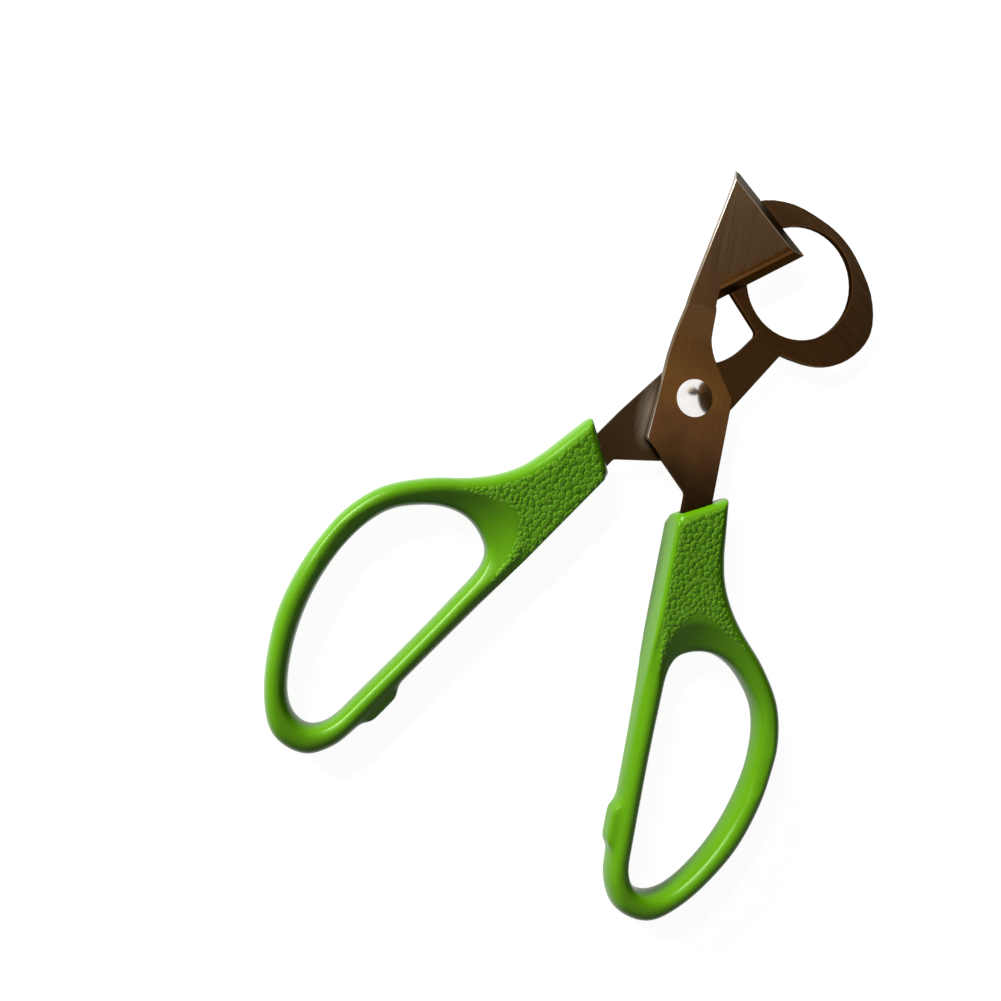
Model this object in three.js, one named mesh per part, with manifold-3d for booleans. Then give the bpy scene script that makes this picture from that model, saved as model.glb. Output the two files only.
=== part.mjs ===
// Quail egg scissors, lying flat: a hooded cutter blade and a ring blade turn on one rivet,
// and each blade's tang is moulded into a plastic loop handle.
// Millimetres, +Z up, +Y towards the blade heads, origin at the middle of the footprint.
import * as THREE from 'three';
import { mergeVertices } from 'three/addons/utils/BufferGeometryUtils.js';
import Module from 'manifold-3d';

const wasm = await Module();
wasm.setup();

// Assembly
const restOpening = 34.2;          // degrees between the straight sides of the two handles
const clearance = 0.3;             // between pieces that touch or slide on the real object
const overrun = 1;                 // how far a cutting tool runs past what it cuts

// Sheet steel and rivet
const sheet = 1.5;
const rivetShank = 4.6;
const rivetHead = 7.2;
const rivetHeadHeight = 0.6;
const rivetEdge = 0.2;             // height of the heads' upright rims, below their domes

// Both blades near the rivet, seen from above with the rivet at zero
const tangCover = 7;               // plastic between the tang's end and the finger opening
const tangRound = 0.8;
const anchorHole = 3.2;            // holes in the tangs that the plastic fills
const anchorFromEnd = 6;           // from the tang's end to the first of them
const anchorPitch = 7.5;
const cutterTangInner = 1.95;
const cutterTangOuter = 7.6;
const ringTangInner = 2.4;
const ringTangOuter = 7.95;
const heelOut = 7.65;              // corner that sticks out beside the tang
const heelDown = 9.35;
const heelRound = 0.9;
const throatRound = 1.2;           // between the heel's slope and the tang
const cutterThroatDown = 18.1;
const ringThroatDown = 19.2;
const shoulderRound = 1.2;
const cutterShoulderUp = 1.4;
const ringShoulderUp = 0;
const ringShoulderOut = 7.4;
const ringShoulderBend = 12;       // below this the tang's outer edge is straight

// Cutter blade's neck and its raised head
const waistX = 1.35;
const waistUp = 9.8;
const waistRound = 12;
const neckInnerX = 0.25;           // the neck's edge beside the ring
const flangeRootUp = 18.8;         // where the lower cutting edge starts
const tipX = 17.3;
const tipUp = 32.55;
const apexX = -0.25;
const apexUp = 44.8;
const apexFlat = 1.2;
const headRootX = 4.95;            // the blade's long outer edge
const headRootUp = 19.9;
const backBendX = 6.6;
const backBendUp = 7.5;
const headRise = 1.5;
const rampStart = 11.5;
const rampLength = 5;
const rampRound = 5;
const flangeWidth = 2;             // lower edge, bent down: its width seen from above
const flangeBendRadius = 2;
const hoodSideWidth = 2.9;         // upper edge, bent down with a sharp bend
const hoodWall = 1.7;              // wall of the bent edges where they leave the sheet
const edgeLand = 0.35;             // and at their ground cutting edges

// Ring blade
const ringHole = 22.4;
const ringLobe = 6.9;              // from the hole's edge to the outermost point of a lobe
const ringCentreX = 0.75;
const ringCentreUp = 32.45;
const armOuterX = 6.6;
const notchWall = 1.65;            // from the hole to the notch, along the blade
const notchRound = 0.8;
const crotchX = 0.4;
const crotchWall = 2.45;           // and to the corner on the other side of the arm
const crotchRound = 1.2;
const armInnerX = -0.25;
const armInnerUp = 11.2;
// One lobe of the ring, from the notch to the top: shares of the lobe's reach from the hole's middle
const lobeShares = [
  [0.512, -0.66], [0.722, -0.536], [0.89, -0.37], [0.99, -0.13], [0.995, 0.13],
  [0.906, 0.326], [0.657, 0.541], [0.342, 0.663], [0.11, 0.713],
];

// Handles
const handleThickness = 8;
const handleReach = 98.7;          // from the rivet to the far end of the loop
const loopWidth = 29.4;            // from the straight side to the outermost point
const barWidth = 4.15;             // of the straight bar beside the opening
const neckWidth = 9.9;             // of the end that the tang goes into
const endInner = 22.2;             // from the rivet to the end's corner on the straight side
const endOuter = 17.1;             // and to its other corner
const edgeWidth = 1.7;             // of the rounded edges, seen from above
const edgeDepth = 3.5;             // and down the side
const cutterHandleInset = 0.7;     // from the line through the rivet to the straight side
const ringHandleInset = 1.5;
const flankEdge = 0.6;             // of the straight side beside the tang, which is crisp there
const flankTip = 2.4;              // height of that crisp side where it has run into the round bar
const scoopWidth = 21;             // hollow that leads into the opening, at its rim
const scoopLength = 37;
const scoopDepth = 2.6;
const scoopRise = 2.6;             // of the middle of its round above the handle's face
const scoopTurn = 30;              // degrees
const padFromEnd = 16.9;           // from the loop's far end to the middle of the stop pad
const padLength = 9.2;
const padHeight = 5;
const padSlope = 1.6;
const padRise = 1.2;               // the two pads meet just before the straight sides do
// Outer side, from the end round the loop to the straight side: shares of loopWidth and handleReach
const loopShares = [
  [0.381, 0.28], [0.418, 0.33], [0.49, 0.376], [0.596, 0.419], [0.785, 0.478], [0.943, 0.55],
  [1, 0.626], [0.987, 0.687], [0.956, 0.743], [0.876, 0.817], [0.782, 0.871], [0.586, 0.947],
  [0.403, 0.991], [0.302, 1], [0.178, 0.994], [0.094, 0.979], [0.047, 0.957], [0.012, 0.928],
];
const loopStraightShare = 0.889;   // of handleReach, where the straight side begins
// Finger opening, from its near end: shares of the loop's width beside the bar, and of handleReach
const openingShares = [
  [0.282, 0.476], [0.408, 0.481], [0.537, 0.498], [0.659, 0.527], [0.77, 0.567], [0.82, 0.618],
  [0.818, 0.681], [0.76, 0.753], [0.675, 0.811], [0.557, 0.866], [0.412, 0.914], [0.31, 0.936],
  [0.204, 0.946], [0.106, 0.943], [0.047, 0.93], [0.008, 0.906], [0, 0.851], [0, 0.608],
  [0.024, 0.515], [0.09, 0.491],
];
const flankFullShare = 0.43;       // of handleReach, to where the crisp side starts to taper
const flankEndShare = 0.77;        // and to where it ends
const scoopAcrossShare = 0.51;     // of loopWidth
const scoopDownShare = 0.3;        // of scoopLength, past the opening's near end
const edgeWallShare = 0.45;        // the most of a wall's thickness that its rounded edge takes

// Facets
const arcSteps = 5;
const circleSteps = 48;
const loopSteps = 96;
const edgeSteps = 3;

const steel = new THREE.MeshStandardMaterial({ color: 0x7a6a58, roughness: 0.38, metalness: 1 });
const shadedSteel = new THREE.MeshStandardMaterial({ color: 0x5c4936, roughness: 0.38, metalness: 1 });
const polishedSteel = new THREE.MeshStandardMaterial({ color: 0xd8d2c8, roughness: 0.12, metalness: 1 });
const greenPlastic = new THREE.MeshStandardMaterial({ color: 0x6fb522, roughness: 0.3, metalness: 0 });

// Heights above the plane that the handles lie on: the blades pass each other at half their thickness
const middle = handleThickness / 2;
const ringTop = middle - clearance / 2;
const ringBottom = ringTop - sheet;
const cutterBottom = middle + clearance / 2;
const cutterTop = cutterBottom + sheet;
const headBottom = cutterBottom + headRise;
const headTop = cutterTop + headRise;

// Places that follow from the sizes above
const openingStart = openingShares[0][1] * handleReach;
const tangEnd = openingStart - tangCover;
const farAnchor = tangEnd - anchorFromEnd;
const nearAnchor = farAnchor - anchorPitch;
const padMiddle = handleReach - padFromEnd;
const flankFull = flankFullShare * handleReach;
const flankEnd = flankEndShare * handleReach;
const rampEnd = rampStart + rampLength;
const ringReach = ringHole / 2 + ringLobe;
const ringHoleLow = ringCentreUp - ringHole / 2;
const notchUp = ringHoleLow - notchWall;
const crotchUp = ringHoleLow - crotchWall;

function toSolid(geometry) {
  const bare = geometry.clone();
  bare.deleteAttribute('normal');
  bare.deleteAttribute('uv');
  const merged = mergeVertices(bare);
  return new wasm.Manifold(new wasm.Mesh({
    numProp: 3,
    vertProperties: Float32Array.from(merged.attributes.position.array),
    triVerts: Uint32Array.from(merged.index.array),
  }));
}

function toMesh(name, solid, material) {
  const { vertProperties, triVerts } = solid.getMesh();
  const geometry = new THREE.BufferGeometry();
  geometry.setAttribute('position', new THREE.BufferAttribute(vertProperties, 3));
  geometry.setIndex(new THREE.BufferAttribute(triVerts, 1));
  geometry.computeVertexNormals();
  const mesh = new THREE.Mesh(geometry, material);
  mesh.name = name;
  return mesh;
}

// Outline through corners [x, y, radius]: a corner with a radius becomes an arc that touches both sides
function rounded(corners) {
  const points = [];
  corners.forEach(([x, y, radius = 0], index) => {
    const corner = new THREE.Vector2(x, y);
    if (radius === 0) {
      points.push(corner);
      return;
    }
    const back = new THREE.Vector2(...corners.at(index - 1)).sub(corner).normalize();
    const ahead = new THREE.Vector2(...corners[(index + 1) % corners.length]).sub(corner).normalize();
    const half = Math.acos(back.dot(ahead)) / 2;
    const centre = back.clone().add(ahead).setLength(radius / Math.sin(half)).add(corner);
    const first = back.clone().setLength(radius / Math.tan(half)).add(corner).sub(centre);
    const last = ahead.clone().setLength(radius / Math.tan(half)).add(corner).sub(centre);
    const turn = Math.atan2(first.cross(last), first.dot(last));
    for (let step = 0; step <= arcSteps; step += 1) {
      points.push(first.clone().rotateAround(new THREE.Vector2(), turn * step / arcSteps).add(centre));
    }
  });
  return points;
}

// Smooth curve through [x, y] points
function smooth(points, steps, closed) {
  const curve = new THREE.CatmullRomCurve3(points.map(([x, y]) => new THREE.Vector3(x, y, 0)), closed);
  const list = curve.getPoints(steps).map((point) => [point.x, point.y]);
  return closed ? list.slice(1) : list;
}

// Flat plate, or a moulding with an edge, from an outline and its holes, between two heights
function prism(outline, bottom, top, holes = [], edge = null) {
  const turned = (points, clockwise) => (
    THREE.ShapeUtils.isClockWise(points) === clockwise ? points : points.toReversed()
  );
  const shape = new THREE.Shape(turned(outline, false));
  shape.holes = holes.map((hole) => new THREE.Path(turned(hole, true)));
  const edgeHeight = edge ? edge.depth : 0;
  const geometry = new THREE.ExtrudeGeometry(shape, {
    depth: top - bottom - 2 * edgeHeight,
    bevelEnabled: edge !== null,
    bevelThickness: edgeHeight,
    bevelSize: edge ? edge.width : 0,
    bevelOffset: edge ? -edge.width : 0,
    bevelSegments: edge ? edge.steps : 0,
  });
  geometry.translate(0, 0, bottom + edgeHeight);
  return toSolid(geometry);
}

function rectangle(left, right, low, high) {
  return rounded([[left, low], [right, low], [right, high], [left, high]]);
}

function cylinder(x, y, diameter, bottom, top) {
  const geometry = new THREE.CylinderGeometry(diameter / 2, diameter / 2, top - bottom, circleSteps);
  geometry.rotateX(Math.PI / 2);
  geometry.translate(x, y, (bottom + top) / 2);
  return toSolid(geometry);
}

// Section of [sideways, height] points swept from start to end, and past both by extra
function sweep(section, start, end, extra) {
  const along = end.clone().sub(start).normalize();
  const from = start.clone().addScaledVector(along, -extra);
  const depth = start.distanceTo(end) + 2 * extra;
  const geometry = new THREE.ExtrudeGeometry(new THREE.Shape(section), { depth, bevelEnabled: false });
  const leftward = new THREE.Vector3(-along.y, along.x, 0);
  const up = new THREE.Vector3(0, 0, 1);
  const basis = new THREE.Matrix4().makeBasis(leftward, up, new THREE.Vector3(along.x, along.y, 0));
  geometry.applyMatrix4(basis.setPosition(from.x, from.y, 0));
  return toSolid(geometry);
}

// What a bent-down edge leaves out: all that lies outside its slope and the round bend above it
function outsideOfBend(start, end, width, bendRadius) {
  const far = width + headTop;
  const section = rounded([
    [0, cutterBottom],
    [width, headTop, bendRadius],
    [far, headTop],
    [far, headTop + overrun],
    [-overrun, headTop + overrun],
    [-overrun, cutterBottom - overrun],
    [0, cutterBottom - overrun],
  ]);
  return sweep(section, start, end, apexUp);
}

// The space under the hood, on the inner side of a bent-down edge
function insideOfBend(start, end, width) {
  const slopeAtSheet = width * (headBottom - cutterBottom) / (headTop - cutterBottom);
  const far = apexUp + tipX;
  const section = rounded([
    [edgeLand, cutterBottom - overrun],
    [far, cutterBottom - overrun],
    [far, headBottom],
    [slopeAtSheet + hoodWall, headBottom],
    [edgeLand, cutterBottom],
  ]);
  return sweep(section, start, end, apexUp);
}

// The two holes along a tang, or with a smaller diameter the plastic that fills them
function anchors(x, diameter, bottom, top) {
  return cylinder(x, -nearAnchor, diameter, bottom - overrun, top + overrun)
    .add(cylinder(x, -farAnchor, diameter, bottom - overrun, top + overrun));
}

function makeCutterBlade() {
  const outline = rounded([
    [cutterTangInner, -tangEnd, tangRound],
    [cutterTangOuter, -tangEnd, tangRound],
    [cutterTangOuter, cutterShoulderUp, shoulderRound],
    [waistX, waistUp, waistRound],
    [neckInnerX, flangeRootUp],
    [tipX, tipUp],
    [apexX + apexFlat, apexUp],
    [apexX, apexUp],
    [-headRootX, headRootUp],
    [-backBendX, backBendUp, waistRound],
    [-heelOut, -heelDown, heelRound],
    [cutterTangInner, -cutterThroatDown, throatRound],
  ]);
  const root = new THREE.Vector2(neckInnerX, flangeRootUp);
  const tip = new THREE.Vector2(tipX, tipUp);
  const apex = new THREE.Vector2(apexX + apexFlat, apexUp);
  const past = apexUp + overrun;
  const neckSide = rectangle(neckInnerX, past, 0, past);
  const besideNeck = prism(neckSide, cutterBottom - 2 * overrun, headTop + 2 * overrun);
  const lowerEdge = outsideOfBend(root, tip, flangeWidth, flangeBendRadius).intersect(besideNeck);
  const upperEdge = outsideOfBend(tip, apex, hoodSideWidth, 0);

  // Seen from the side, the shank lies low and a ramp lifts the sheet to the head
  const acrossFrom = new THREE.Vector2(-past, 0);
  const acrossTo = new THREE.Vector2(past, 0);
  const aboveSheet = sweep(rounded([
    [-past, cutterTop],
    [rampStart, cutterTop, rampRound],
    [rampEnd, headTop, rampRound],
    [past, headTop],
    [past, headTop + overrun],
    [-past, headTop + overrun],
  ]), acrossFrom, acrossTo, 0);
  const underSheet = sweep(rounded([
    [-past, cutterBottom],
    [rampStart, cutterBottom, rampRound],
    [rampEnd, headBottom, rampRound],
    [past, headBottom],
    [past, cutterBottom - overrun],
    [-past, cutterBottom - overrun],
  ]), acrossFrom, acrossTo, 0);
  const hollow = underSheet.intersect(insideOfBend(tip, apex, hoodSideWidth));
  const besideHollow = hollow.intersect(insideOfBend(root, tip, flangeWidth));
  const neckHollow = hollow.subtract(besideNeck);

  return prism(outline, cutterBottom, headTop)
    .subtract(lowerEdge)
    .subtract(upperEdge)
    .subtract(aboveSheet)
    .subtract(besideHollow)
    .subtract(neckHollow)
    .subtract(cylinder(0, 0, rivetShank + 2 * clearance, cutterBottom - overrun, headTop))
    .subtract(anchors((cutterTangInner + cutterTangOuter) / 2, anchorHole, cutterBottom, cutterTop));
}

function makeRingBlade() {
  const lobe = lobeShares.map(([across, up]) => [across * ringReach, up * ringReach]);
  const otherLobe = lobe.map(([across, up]) => [-across, up]).reverse();
  const ring = smooth([...lobe, ...otherLobe], loopSteps / 2, false)
    .map(([across, up]) => [across - ringCentreX, up + ringCentreUp]);
  const outline = rounded([
    [-ringTangOuter, -tangEnd, tangRound],
    [-ringTangInner, -tangEnd, tangRound],
    [-ringTangInner, -ringThroatDown, throatRound],
    [heelOut, -heelDown, heelRound],
    [armOuterX, notchUp, notchRound],
    ...ring,
    [crotchX, crotchUp, crotchRound],
    [-armInnerX, armInnerUp, waistRound],
    [-ringShoulderOut, ringShoulderUp, shoulderRound],
    [-ringTangOuter, -ringShoulderBend],
  ]);
  return prism(outline, ringBottom, ringTop)
    .subtract(cylinder(-ringCentreX, ringCentreUp, ringHole, ringBottom - overrun, ringTop + overrun))
    .subtract(cylinder(0, 0, rivetShank + 2 * clearance, ringBottom - overrun, ringTop + overrun))
    .subtract(anchors(-(ringTangInner + ringTangOuter) / 2, anchorHole, ringBottom, ringTop));
}

function makePivotRivet() {
  const shank = rivetShank / 2;
  const head = rivetHead / 2;
  const upperSeat = cutterTop + clearance;
  const lowerSeat = ringBottom - clearance;
  const domeRise = rivetHeadHeight - rivetEdge;
  const sphere = (head ** 2 + domeRise ** 2) / (2 * domeRise);
  const dome = Array.from({ length: arcSteps + 1 }, (_, step) => {
    const radius = head * step / arcSteps;
    return [radius, rivetHeadHeight - sphere + Math.sqrt(sphere ** 2 - radius ** 2)];
  });
  const profile = [
    ...dome.map(([radius, height]) => [radius, lowerSeat - height]),
    [head, lowerSeat],
    [shank, lowerSeat],
    [shank, upperSeat],
    [head, upperSeat],
    ...dome.map(([radius, height]) => [radius, upperSeat + height]).reverse(),
  ].map(([radius, height]) => new THREE.Vector2(radius, height));
  const geometry = new THREE.LatheGeometry(profile, circleSteps);
  geometry.rotateX(Math.PI / 2);
  return toSolid(geometry);
}

// Loop handle with its straight side on the left, moulded round a tang
function makeHandle(inset, tang) {
  const loop = smooth([
    ...loopShares.map(([across, down]) => [inset + across * loopWidth, -down * handleReach]),
    [inset, -loopStraightShare * handleReach],
  ], loopSteps, false);
  const outline = rounded([
    ...loop,
    [inset, -endInner],
    [inset + neckWidth, -endOuter],
  ]);
  const opening = smooth(openingShares.map(([across, down]) => [
    inset + barWidth + across * (loopWidth - barWidth),
    -down * handleReach,
  ]), loopSteps, true).map((point) => new THREE.Vector2(...point));
  const loopPoints = loop.map((point) => new THREE.Vector2(...point));
  const toLoop = (point) => Math.min(...loopPoints.map((other) => point.distanceTo(other)));
  const thinnest = Math.min(barWidth, ...opening.map(toLoop));
  const edge = {
    width: Math.min(edgeWidth, edgeWallShare * thinnest),
    depth: Math.min(edgeDepth, edgeWallShare * handleThickness),
    steps: edgeSteps,
  };
  const body = prism(outline, 0, handleThickness, [opening], edge);

  const flankStart = endInner + edge.width;
  const flankSide = rounded([
    [-endInner, edge.depth],
    [-endInner, handleThickness - edge.depth],
    [-flankStart, handleThickness],
    [-flankFull, handleThickness],
    [-flankEnd, middle + flankTip / 2],
    [-flankEnd, middle - flankTip / 2],
    [-flankFull, 0],
    [-flankStart, 0],
  ]);
  const flankFrom = new THREE.Vector2(inset - overrun, 0);
  const flankTo = new THREE.Vector2(inset + barWidth / 2, 0);
  const crispEdge = { width: flankEdge, depth: flankEdge, steps: edgeSteps };
  const flank = prism(outline, 0, handleThickness, [], crispEdge)
    .intersect(sweep(flankSide, flankFrom, flankTo, 0));

  const padLow = -padMiddle - padLength / 2;
  const padHigh = -padMiddle + padLength / 2;
  const pad = prism(rounded([
    [inset + barWidth / 2, padLow],
    [inset + barWidth / 2, padHigh],
    [inset, padHigh],
    [inset - padRise, padHigh - padSlope, padSlope / 2],
    [inset - padRise, padLow + padSlope, padSlope / 2],
    [inset, padLow],
  ]), middle - padHeight / 2, middle + padHeight / 2);

  const scoop = (height) => {
    const reach = scoopDepth + scoopRise;
    const rim = Math.sqrt(1 - (scoopRise / reach) ** 2);
    const geometry = new THREE.SphereGeometry(1, circleSteps, circleSteps / 2);
    geometry.scale(scoopWidth / 2 / rim, scoopLength / 2 / rim, reach);
    geometry.rotateZ(THREE.MathUtils.degToRad(scoopTurn));
    const across = inset + scoopAcrossShare * loopWidth;
    geometry.translate(across, -openingStart - scoopDownShare * scoopLength, height);
    return toSolid(geometry);
  };

  const slot = prism(
    rectangle(tang.inner - clearance, tang.outer + clearance, -tangEnd - clearance, -endOuter + overrun),
    tang.bottom - clearance,
    tang.bottom + sheet + clearance,
  );
  const plugDiameter = anchorHole - 2 * clearance;
  const plugs = anchors((tang.inner + tang.outer) / 2, plugDiameter, tang.bottom, tang.bottom + sheet);

  return body.add(flank)
    .add(pad)
    .subtract(scoop(-scoopRise))
    .subtract(scoop(handleThickness + scoopRise))
    .subtract(slot.subtract(plugs));
}

const cutterHandle = makeHandle(cutterHandleInset, {
  inner: cutterTangInner,
  outer: cutterTangOuter,
  bottom: cutterBottom,
});
const ringHandle = makeHandle(ringHandleInset, {
  inner: ringTangInner,
  outer: ringTangOuter,
  bottom: ringBottom,
}).mirror([1, 0, 0]);

const cutterHalf = new THREE.Group();
cutterHalf.rotation.z = THREE.MathUtils.degToRad(restOpening / 2);
cutterHalf.add(
  toMesh('cutter_blade', makeCutterBlade(), steel),
  toMesh('cutter_handle', cutterHandle, greenPlastic),
);
const ringHalf = new THREE.Group();
ringHalf.rotation.z = THREE.MathUtils.degToRad(-restOpening / 2);
ringHalf.add(
  toMesh('ring_blade', makeRingBlade(), shadedSteel),
  toMesh('ring_handle', ringHandle, greenPlastic),
  toMesh('pivot_rivet', makePivotRivet(), polishedSteel),
);

// The origin is the middle of the footprint, so the rivet moves there from zero
const scissors = new THREE.Group();
scissors.add(cutterHalf, ringHalf);
scissors.updateMatrixWorld(true);
const box = new THREE.Box3().setFromObject(scissors, true);
scissors.position.set(-(box.min.x + box.max.x) / 2, -(box.min.y + box.max.y) / 2, -box.min.z);
scissors.updateMatrixWorld(true);

export default scissors;
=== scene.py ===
# %% [markdown]
# Quail egg scissors, lying half open on white paper and seen from almost straight above.
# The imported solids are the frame: they say where everything is and what turns on the rivet.
# This file puts the finished surfaces on that frame. It makes two moulded plastic handles with
# their pebbled grip, two stamped steel blades with broken edges, and a domed polished rivet.

# %% Load the frame
import math

import bmesh
import bpy
import numpy as np
from mathutils import Matrix, Vector
from mathutils.kdtree import KDTree


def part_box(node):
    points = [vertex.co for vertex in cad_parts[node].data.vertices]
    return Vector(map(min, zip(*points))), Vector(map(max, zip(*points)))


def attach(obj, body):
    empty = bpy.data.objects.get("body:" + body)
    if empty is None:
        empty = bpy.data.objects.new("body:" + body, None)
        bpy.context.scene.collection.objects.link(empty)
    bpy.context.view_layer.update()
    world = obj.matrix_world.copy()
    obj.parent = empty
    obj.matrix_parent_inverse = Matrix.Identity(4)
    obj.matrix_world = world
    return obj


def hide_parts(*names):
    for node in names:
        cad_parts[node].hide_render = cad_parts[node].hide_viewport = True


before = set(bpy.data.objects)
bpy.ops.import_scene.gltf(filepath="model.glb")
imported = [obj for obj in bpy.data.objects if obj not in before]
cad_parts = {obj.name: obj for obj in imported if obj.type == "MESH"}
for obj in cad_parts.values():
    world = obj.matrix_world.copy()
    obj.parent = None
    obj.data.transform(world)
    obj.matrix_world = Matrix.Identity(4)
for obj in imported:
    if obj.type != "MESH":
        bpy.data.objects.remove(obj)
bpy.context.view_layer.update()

MM = 0.001
print("solids of the frame:", ", ".join(sorted(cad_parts)))

# %% [markdown]
# Each half of the scissors is easiest to think of in its own frame: the rivet at zero, the blade
# pointing up +Y and the handle's straight side just right of the Y axis. The rivet's place is
# the middle of its solid, and the two halves are turned by the same angle, one each way. The
# left half's handle is the right one's mirror image, so its own frame is mirrored too.

# %% The rivet's place and the two halves' own frames
rivet_low, rivet_high = (Vector(corner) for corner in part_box("pivot_rivet"))
rivet = (rivet_low + rivet_high) / 2
OPENING = 34.2
HALF_TURN = math.radians(OPENING / 2)


def half_frame(side):
    """Takes a half's own frame to the shared one; side is 1 for the cutter's, -1 for the ring's."""
    turn = Matrix.Rotation(side * HALF_TURN, 4, "Z")
    return Matrix.Translation((rivet.x, rivet.y, 0)) @ turn @ Matrix.Diagonal((side, 1, 1, 1))


print("rivet at", [round(value / MM, 2) for value in rivet], "mm")

# %% [markdown]
# The photograph was taken from nearly overhead, from about 21 cm. The camera is placed from the
# rivet: so far left, down and back in its own axes. It is tilted 12 degrees from straight down,
# and the picture's upright is turned 28.7 degrees from the object's long axis.

# %% The camera
TILT = math.radians(12)
PICTURE_TURN = math.radians(28.69)
LENS = 39.56
SEEN_HEIGHT = 5.9 * MM
EYE_LEFT, EYE_DOWN, EYE_BACK = 36.91 * MM, 19.45 * MM, 208.73 * MM

across = Vector((math.cos(PICTURE_TURN), math.sin(PICTURE_TURN), 0))
upward = Vector((-math.sin(PICTURE_TURN), math.cos(PICTURE_TURN), 0))
normal = Vector((0, 0, 1))
right = math.cos(TILT) * across + math.sin(TILT) * normal
back = -math.sin(TILT) * across + math.cos(TILT) * normal
seen_point = Vector((rivet.x, rivet.y, SEEN_HEIGHT))
eye = seen_point - EYE_LEFT * right - EYE_DOWN * upward + EYE_BACK * back

camera_data = bpy.data.cameras.new("camera")
camera_data.lens = LENS
camera_data.sensor_width = 36
camera_data.clip_start = 0.01
camera = bpy.data.objects.new("camera", camera_data)
bpy.context.scene.collection.objects.link(camera)
camera.matrix_world = Matrix.Translation(eye) @ Matrix((right, upward, back)).transposed().to_4x4()
bpy.context.scene.camera = camera
print("camera at", [round(value / MM) for value in eye], "mm")

# %% [markdown]
# A new piece is a mesh whose object sits at the origin, unturned. These helpers start one from a
# solid of the frame, with its loose triangles joined, and make an object of the finished mesh.

# %% Helpers that start and end a piece
MERGE = 0.001 * MM


def joined_copy(node):
    """A bmesh of a frame solid with the doubles of its loose triangles merged."""
    shape = bmesh.new()
    shape.from_mesh(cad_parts[node].data)
    bmesh.ops.remove_doubles(shape, verts=shape.verts, dist=MERGE)
    return shape


def to_object(shape, name):
    """Turns a bmesh into an object at the origin, smooth shaded."""
    mesh = bpy.data.meshes.new(name)
    shape.to_mesh(mesh)
    shape.free()
    mesh.polygons.foreach_set("use_smooth", [True] * len(mesh.polygons))
    piece = bpy.data.objects.new(name, mesh)
    bpy.context.scene.collection.objects.link(piece)
    print(name, "has", sum(len(face.vertices) - 2 for face in mesh.polygons), "triangles")
    return piece


# %% [markdown]
# The handles are injection moulded plastic. Their bars are round, their grip end is a flat-topped
# block with one crisp edge, and a soft hollow leads the finger into the loop. The solid has the
# right shape in flat facets. A remesh into small even quads and some smoothing melts the facets
# together. The remesh is made in the handle's own frame, so the straight side stays straight.

# %% Even quads over a handle
VOXEL = 0.36 * MM


def remeshed(shape, size):
    """The same form in even quads of about that size."""
    mesh = bpy.data.meshes.new("remesh")
    shape.to_mesh(mesh)
    shape.free()
    carrier = bpy.data.objects.new("remesh", mesh)
    bpy.context.scene.collection.objects.link(carrier)
    remesh = carrier.modifiers.new("even", "REMESH")
    remesh.mode = "VOXEL"
    remesh.voxel_size = size
    remesh.adaptivity = 0
    evaluated = carrier.evaluated_get(bpy.context.evaluated_depsgraph_get())
    even = bmesh.new()
    even.from_mesh(evaluated.to_mesh())
    evaluated.to_mesh_clear()
    bpy.data.objects.remove(carrier)
    bpy.data.meshes.remove(mesh)
    print("even quads:", len(even.faces))
    return even


# %% [markdown]
# How often a vertex is smoothed decides how round the plastic gets there. All of the handle gets
# a few rounds, and all but its crisp edge and its end face get many more. Each pair below says
# where the crispness starts and where it is full, in millimetres across the handle from its
# straight side, or along it from the rivet.

# %% Round bars and one crisp edge
FEW_ROUNDS, SOFT_ROUNDS = 3, 21
CRISP_ACROSS = (3.6, 1.4)
CRISP_ALONG = (-60, -46)
CRISP_END = (-29, -24)


def smooth_step(low, high, value):
    """0 below low, 1 above high, and an even curve between."""
    share = np.clip((value - low) / (high - low), 0, 1)
    return share * share * (3 - 2 * share)


def soften(shape, inset):
    """Smooths a handle, much on its bars and little at its crisp edge and its end face."""
    spots = np.array([vert.co[:] for vert in shape.verts]) / MM
    crisp = smooth_step(*CRISP_ACROSS, spots[:, 0] - inset) * smooth_step(*CRISP_ALONG, spots[:, 1])
    crisp = np.maximum(crisp, smooth_step(*CRISP_END, spots[:, 1]))
    rounds = FEW_ROUNDS + SOFT_ROUNDS * (1 - crisp)
    verts = shape.verts[:]
    for step in range(FEW_ROUNDS + SOFT_ROUNDS):
        bmesh.ops.smooth_vert(
            shape, verts=[vert for vert, count in zip(verts, rounds) if count > step], factor=0.5,
            use_axis_x=True, use_axis_y=True, use_axis_z=True,
        )


# %% [markdown]
# The grip is covered in pebbles, packed like the grain of leather. They are about half a
# millimetre to a millimetre wide and stand a tenth of a millimetre high at most, with a slightly
# sunken top, and come from the etched mould. Their centres are scattered, large ones first and
# smaller ones into what is left, and all are a quarter smaller beside the hollow. A vertex
# belongs to the pebble whose oval it lies deepest in, and it sinks into a groove where it is
# nearly as deep in the next one, which squares the pebbles off against each other. They end
# where the hollow begins, on a line given here in millimetres across and along the handle.

# %% The pebbles' centres
FACE_TOP = 8.0
PEBBLE_RISE = 0.1 * MM
PEBBLE_GAP = 0.02
PEBBLE_RADII = (0.66, 0.6, 0.54, 0.48, 0.43, 0.38, 0.34)
STRETCHES, HEIGHTS = (1.0, 1.3), (0.6, 1)
SMALLEST, GROWTH_LENGTH = 0.75, 11
TRIES = 3000
GRIP_WIDTH = 23
GRIP_LOW, GRIP_HIGH = -55, -15
HOLLOW_LINE = (
    (0.0, -54.0), (2.0, -52.5), (3.0, -47.0), (4.3, -43.5), (6.5, -41.0), (8.0, -40.5),
    (10.3, -41.0), (13.3, -43.0), (16.9, -45.0), (20.5, -47.0), (24.0, -49.5),
)


def hollow_border(across_grip):
    """Where along the handle the hollow begins, at that distance across the grip."""
    return np.interp(across_grip, *zip(*HOLLOW_LINE))


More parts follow.
